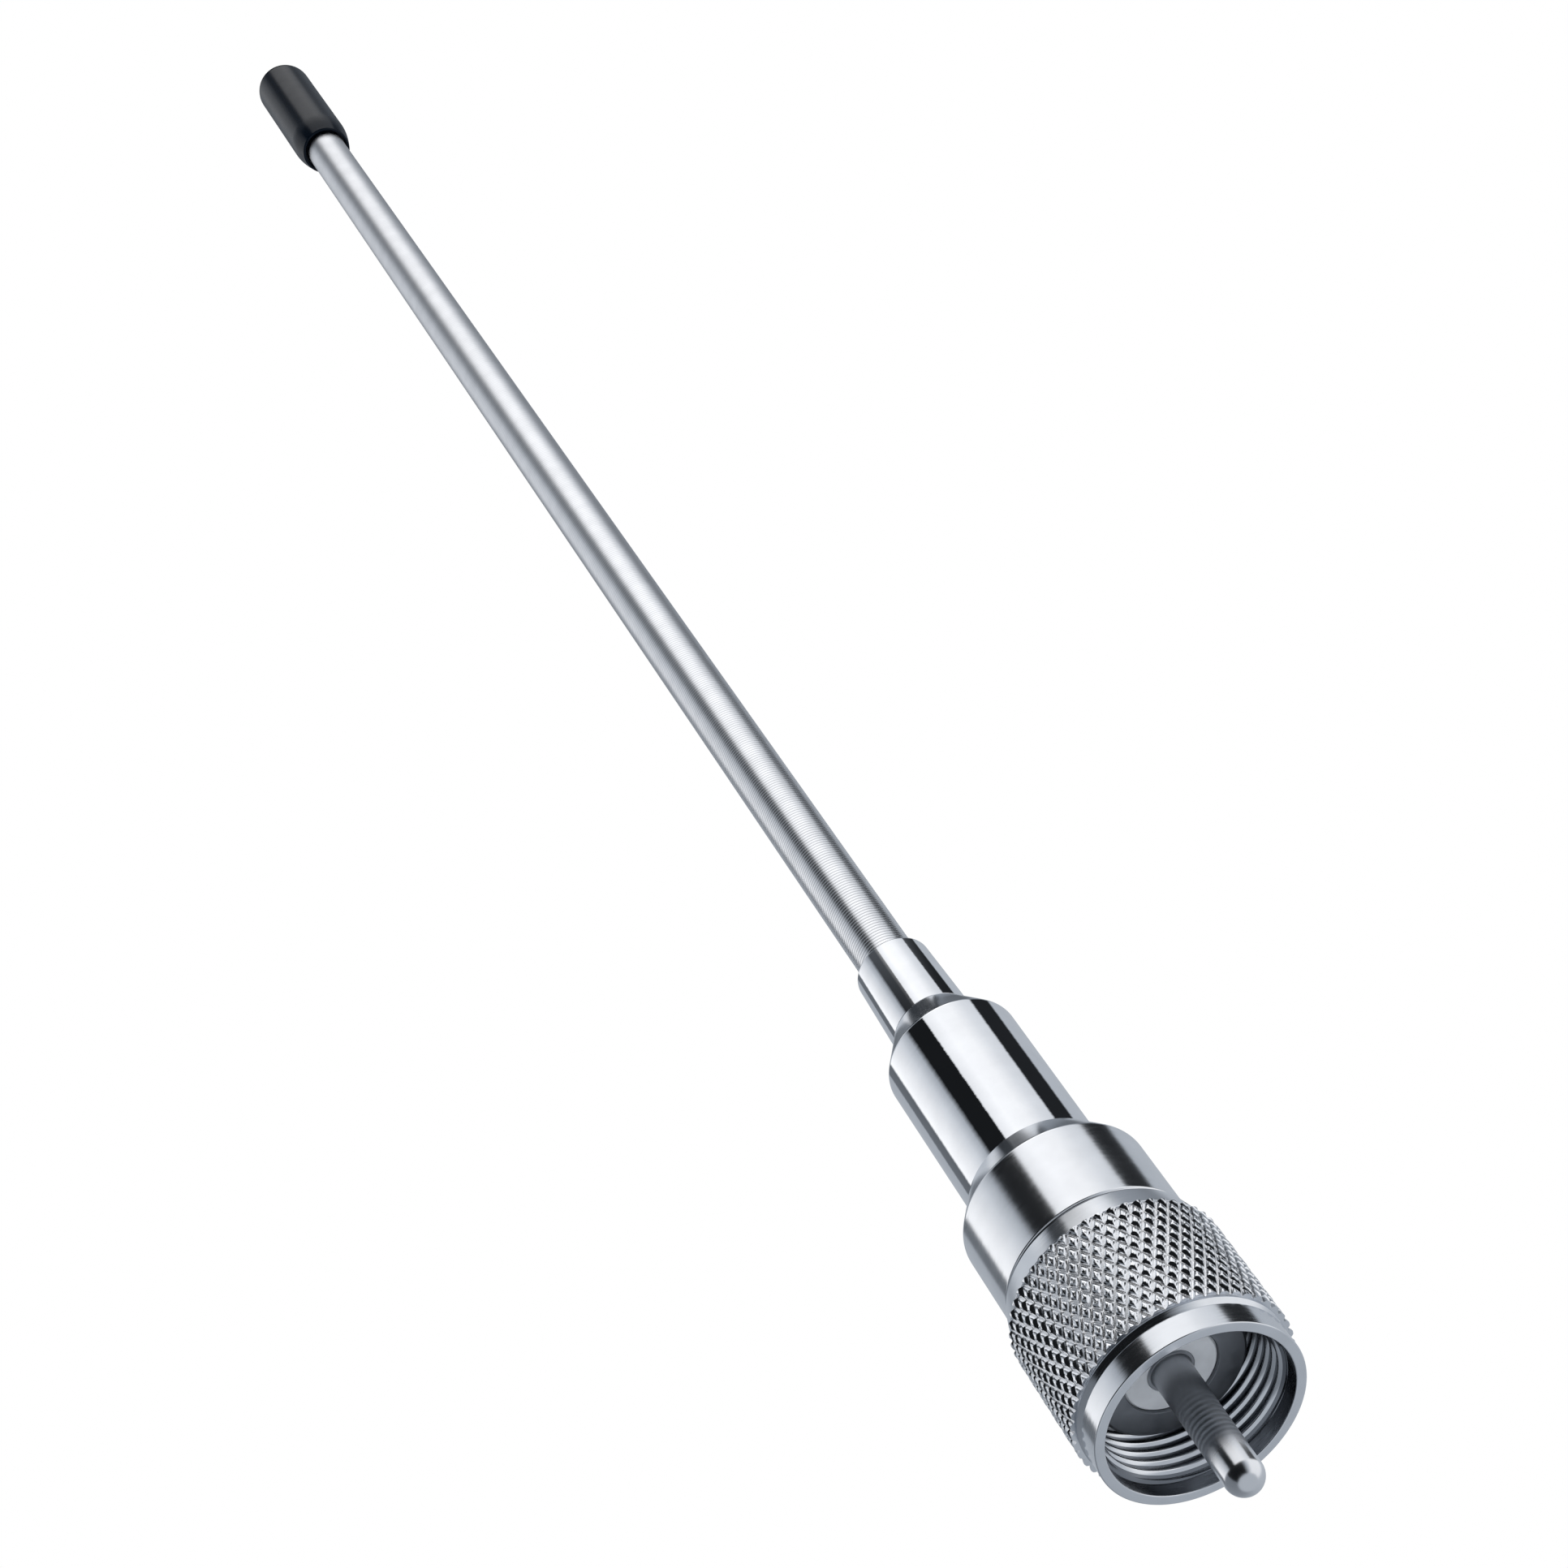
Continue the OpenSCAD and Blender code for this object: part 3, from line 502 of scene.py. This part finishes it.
# The pin carries shallow turned rings between its polished end and its root
rings = [(1.65 - 0.015 * (1 - math.cos((z + 8.2) * 2 * math.pi / 0.5)) * math.sin((z + 8.2) * math.pi / 5.0), z)
         for z in np.linspace(-8.2, -3.2, 121)]
pin = turned("centre_pin_fine", arc(0, -11.45, 1.65, -90, 0, 16) + rings + [
    (1.65, 0.05), (1.75, 0.2), (2.0, 0.2), (2.0, 9.01), (2.4, 9.01), (2.4, 10.21), (1.2, 10.21), (1.2, 13.0),
    (0.51, 13.0), (0.51, 11.04), (0, 11.04)], soft=0.04)
place(pin, pin_metal(), "antenna", "pin", "centre_pin")

# Collar, body and ferrule
collar = turned("collar_fine", [
    (5.61, COLLAR_Z0), (8.26, COLLAR_Z0), (8.26, COLLAR_Z0 + 0.28), (8.4, COLLAR_Z0 + 0.38), (8.4, COLLAR_Z1), (6.48, COLLAR_END), (6.19, COLLAR_END), (6.19, 19.33),
    (7.0, 19.33), (7.0, 18.37), (6.19, 18.37), (6.19, 17.05), (5.61, 17.05)], soft=0.15, count=256)
place(collar, COLLAR_METAL, "antenna", "collar", "collar")
# Painted shadow: a thin dark band on the collar's stepped front edge, where it meets the ring's rear edge
recolour(collar, PAINTED_SHADE_METAL, lambda r, z: z < COLLAR_Z0 + 0.27)
recolour(collar, CONE_METAL, lambda r, z: (z > COLLAR_Z1 + 0.1) & (r > 6.3))

body = turned("body_fine", [
    (5.3, BODY_Z0), (BODY_R, BODY_Z0), (BODY_R, BODY_Z1), (3.85, BODY_END), (3.51, BODY_END), (3.51, 42.05),
    (3.09, 42.05), (3.09, 40.05), (5.3, 40.05)], soft=0.16, count=256)
place(body, MIRROR_METAL, "antenna", "body", "body_tube")
recolour(body, CONE_METAL, lambda r, z: (z > BODY_Z1 + 0.12) & (r > 3.6))

ferrule = turned("ferrule_fine", [(3.09, 42.06), (3.5, 42.06), (3.5, FERRULE_Z0), (3.85, FERRULE_Z0)]
                 + arc(3.3, FERRULE_END - 0.3, 0.3, 0, 90, 8) + [(3.09, FERRULE_END)], soft=0.04, count=224)
place(ferrule, MIRROR_METAL, "antenna", "ferrule", "ferrule")


def winding():
    """Close wound wire, ground smoother towards the tip: one helical skin outside, a plain bore and two flat ends."""
    ridge = [(0.0, WHIP_R - 0.065), (0.22, WHIP_R - 0.012), (0.5, WHIP_R), (0.78, WHIP_R - 0.012)]
    vertices, faces = helix_skin(WINDING_Z0, CAP_Z0 + 1.5, WINDING_PITCH, ridge, 36, lambda z: 0.0)
    points = np.array(vertices)
    radius = np.hypot(points[:, 0], points[:, 1])
    depth = np.interp(points[:, 2], [60, 110, 180, 240], [0.32, 0.22, 0.1, 0.05])
    points[:, :2] *= ((WHIP_R - (WHIP_R - radius) * depth) / radius)[:, None]
    skin = tidy(new_object("winding_skin", points, faces), 80)
    skin.data.flip_normals()
    core = turned("winding_core", [
        (1.81, WHIP_Z0), (WHIP_R, WHIP_Z0), (WHIP_R, 52.8), (2.6, 52.9), (2.6, CAP_Z0 + 1.6), (WHIP_R, CAP_Z0 + 1.7),
        (WHIP_R, WHIP_END), (1.81, WHIP_END)], soft=0.02, count=48)
    return join("whip_winding_fine", [core, skin])


place(winding(), whip_steel(), "antenna", "whip", "whip_winding")

# Tip cap with a rolled lip, a recess round the whip and a domed end
swell = [(3.45 + 0.54 * math.sin(math.radians(90 * i / 16)), CAP_Z0 + 0.25 + 4.5 * i / 16) for i in range(17)]
cap = turned("tip_cap_fine", [(2.77, CAP_Z0 + 1.2), (3.12, CAP_Z0 + 1.2), (3.12, CAP_Z0)]
             + arc(3.2, CAP_Z0 + 0.25, 0.25, -90, -20, 6) + swell + arc(1.3965, CAP_END - 2.5935, 2.5935, 0, 90, 20)
             + [(0, CAP_END), (0, 294.25), (3.13, 294.25), (3.13, 284.95), (2.77, 284.95)], soft=0.05, count=128)
place(cap, BLACK_SATIN, "antenna", "cap", "tip_cap")

# Finishes of the CAD pieces that stay
for node, material in {
    "friction_ring": BLACK_RUBBER, "clamp_ring": BRASS, "pin_lead": COPPER, "lead_tag": BRASS,
    "coil_former": PALE_PLASTIC, "trap_coil": COPPER, "trap_capacitor": CERAMIC, "body_seal": BLACK_RUBBER,
    "whip_socket": BRASS, "top_disc": PALE_PLASTIC, "whip_sleeve": BLACK_RUBBER, "whip_core": CORE_STEEL,
    "end_crimp": BRASS,
}.items():
    dress(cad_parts[node], material)

# World: soft white panels with dark gaps between them, upright like the antenna, seen only in reflections.
# Azimuth in degrees from the camera's side, positive towards +X, and the light from there, for four belts of elevation
TOP_PANELS = [
    (-180, 0.12), (-140, 0.3), (-112, 0.7), (-62, 0.62), (-50, 0.3), (-16, 0.28), (-6, 1.0), (10, 1.4), (50, 1.35),
    (70, 0.85), (88, 0.4), (112, 0.32), (150, 0.2), (180, 0.12),
]
MIDDLE_PANELS = [
    (-180, 0.52), (-128, 0.48), (-124, 0.18), (-107, 0.16), (-103, 1.15), (-80, 0.95), (-60, 0.75), (-45, 0.5),
    (-37, 0.012), (-7, 0.012), (-5, 0.95), (15, 1.12), (40, 1.05), (62, 0.85), (78, 0.78), (81, 0.02), (113, 0.02),
    (117, 0.55), (180, 0.52),
]
LOW_PANELS = [
    (-180, 0.5), (-150, 0.32), (-100, 0.24), (-66, 0.22), (-62, 0.01), (25, 0.01), (45, 0.6), (60, 0.95),
    (110, 0.95), (125, 0.6), (180, 0.5),
]
OVERHEAD_PANELS = [
    (-180, 0.2), (-128, 0.25), (-105, 0.95), (-60, 0.85), (-46, 0.5), (-38, 0.03), (-10, 0.03), (-4, 1.0), (50, 1.1),
    (78, 0.8), (84, 0.08), (112, 0.1), (125, 0.25), (180, 0.2),
]
BELOW, ZENITH = 0.56, 0.055


def studio_world():
    world = bpy.data.worlds.new("studio")
    bpy.context.scene.world = world
    world.use_nodes = True
    tree = world.node_tree
    tree.nodes.clear()

    def add(kind, **settings):
        node = tree.nodes.new(kind)
        for key, value in settings.items():
            setattr(node, key, value)
        return node

    def feed(value, socket):
        if isinstance(value, (float, tuple)):
            socket.default_value = value
        else:
            tree.links.new(value, socket)

    def math_node(operation, *values):
        node = add("ShaderNodeMath", operation=operation)
        for value, socket in zip(values, node.inputs):
            feed(value, socket)
        return node.outputs["Value"]

    def light(level):
        """White panels are neutral and the darker ones bluish."""
        white = min(level, 1.0) ** 2
        return (level * (0.80 + 0.18 * white), level * (0.885 + 0.10 * white), level, 1.0)

    def panels(share, stops):
        ramp = add("ShaderNodeValToRGB")
        while len(ramp.color_ramp.elements) < len(stops):
            ramp.color_ramp.elements.new(0.5)
        for element, (degrees, level) in zip(ramp.color_ramp.elements, stops):
            element.position = degrees / 360 + 0.5
            element.color = light(level)
        tree.links.new(share, ramp.inputs["Fac"])
        return ramp.outputs["Color"]

    def above(first, second, low, high):
        """First colour, which gives way to the second between two elevations in degrees."""
        span = add("ShaderNodeMapRange", interpolation_type="SMOOTHSTEP")
        span.inputs["From Min"].default_value = math.sin(math.radians(low))
        span.inputs["From Max"].default_value = math.sin(math.radians(high))
        tree.links.new(z, span.inputs["Value"])
        mix = add("ShaderNodeMix", data_type="RGBA")
        tree.links.new(span.outputs["Result"], mix.inputs[0])
        feed(first, mix.inputs[6])
        feed(second, mix.inputs[7])
        return mix.outputs[2]

    direction = add("ShaderNodeSeparateXYZ")
    tree.links.new(add("ShaderNodeTexCoord").outputs["Generated"], direction.inputs["Vector"])
    x, y, z = (direction.outputs[k] for k in "XYZ")
    azimuth = math_node("ARCTAN2", x, math_node("MULTIPLY", y, -1.0))
    share = math_node("ADD", math_node("MULTIPLY", azimuth, 0.5 / math.pi), 0.5)
    colour = above(light(BELOW), panels(share, LOW_PANELS), -47, -39)
    colour = above(colour, panels(share, MIDDLE_PANELS), 21, 30)
    colour = above(colour, panels(share, TOP_PANELS), 49, 56)
    colour = above(colour, panels(share, OVERHEAD_PANELS), 66, 70)
    colour = above(colour, light(ZENITH), 72, 75)

    studio = add("ShaderNodeBackground")
    tree.links.new(colour, studio.inputs["Color"])
    backdrop = add("ShaderNodeBackground")
    backdrop.inputs["Color"].default_value = (1, 1, 1, 1)
    chosen = add("ShaderNodeMixShader")
    tree.links.new(add("ShaderNodeLightPath").outputs["Is Camera Ray"], chosen.inputs["Fac"])
    tree.links.new(studio.outputs["Background"], chosen.inputs[1])
    tree.links.new(backdrop.outputs["Background"], chosen.inputs[2])
    tree.links.new(chosen.outputs["Shader"], add("ShaderNodeOutputWorld").inputs["Surface"])


def studio_floor():
    """Plain pale floor below the plug and the camera."""
    n = Nodes("floor_paint")
    n.set(Roughness=0.9, Emission_Color=(1.0, 1.0, 1.0, 1.0), Emission_Strength=0.3)
    n.link(n.ramp(n.noise(40.0), [(0.3, 0.91), (0.7, 0.94)]), n.shader.inputs["Base Color"])
    mesh = bpy.data.meshes.new("floor")
    turn = np.arange(96) * 2 * math.pi / 96
    mesh.from_pydata([(6 * math.cos(a), 6 * math.sin(a), -0.22) for a in turn], [], [list(range(96))])
    floor = bpy.data.objects.new("floor", mesh)
    bpy.context.scene.collection.objects.link(floor)
    dress(floor, n.material)
    floor.visible_glossy = False


def studio_camera():
    """The photograph's viewpoint, solved from the antenna's edges: below and in front of the plug, rolled."""
    data = bpy.data.cameras.new("camera")
    data.sensor_fit = "HORIZONTAL"
    data.sensor_width = 36
    data.lens = 70.286
    data.clip_start, data.clip_end = 0.01, 20
    camera = bpy.data.objects.new("camera", data)
    bpy.context.scene.collection.objects.link(camera)
    right = Vector((0.82229842, 0.44487264, -0.35484313))
    up = Vector((0.56903375, -0.64840124, 0.50574344))
    turn = Matrix((right, up, right.cross(up))).transposed()
    camera.matrix_world = Matrix.Translation((0, -0.18666, -0.15050)) @ turn.to_4x4()
    bpy.context.scene.camera = camera


studio_world()
studio_floor()
studio_camera()
bpy.context.scene.view_settings.view_transform = "Standard"

bpy.context.view_layer.update()
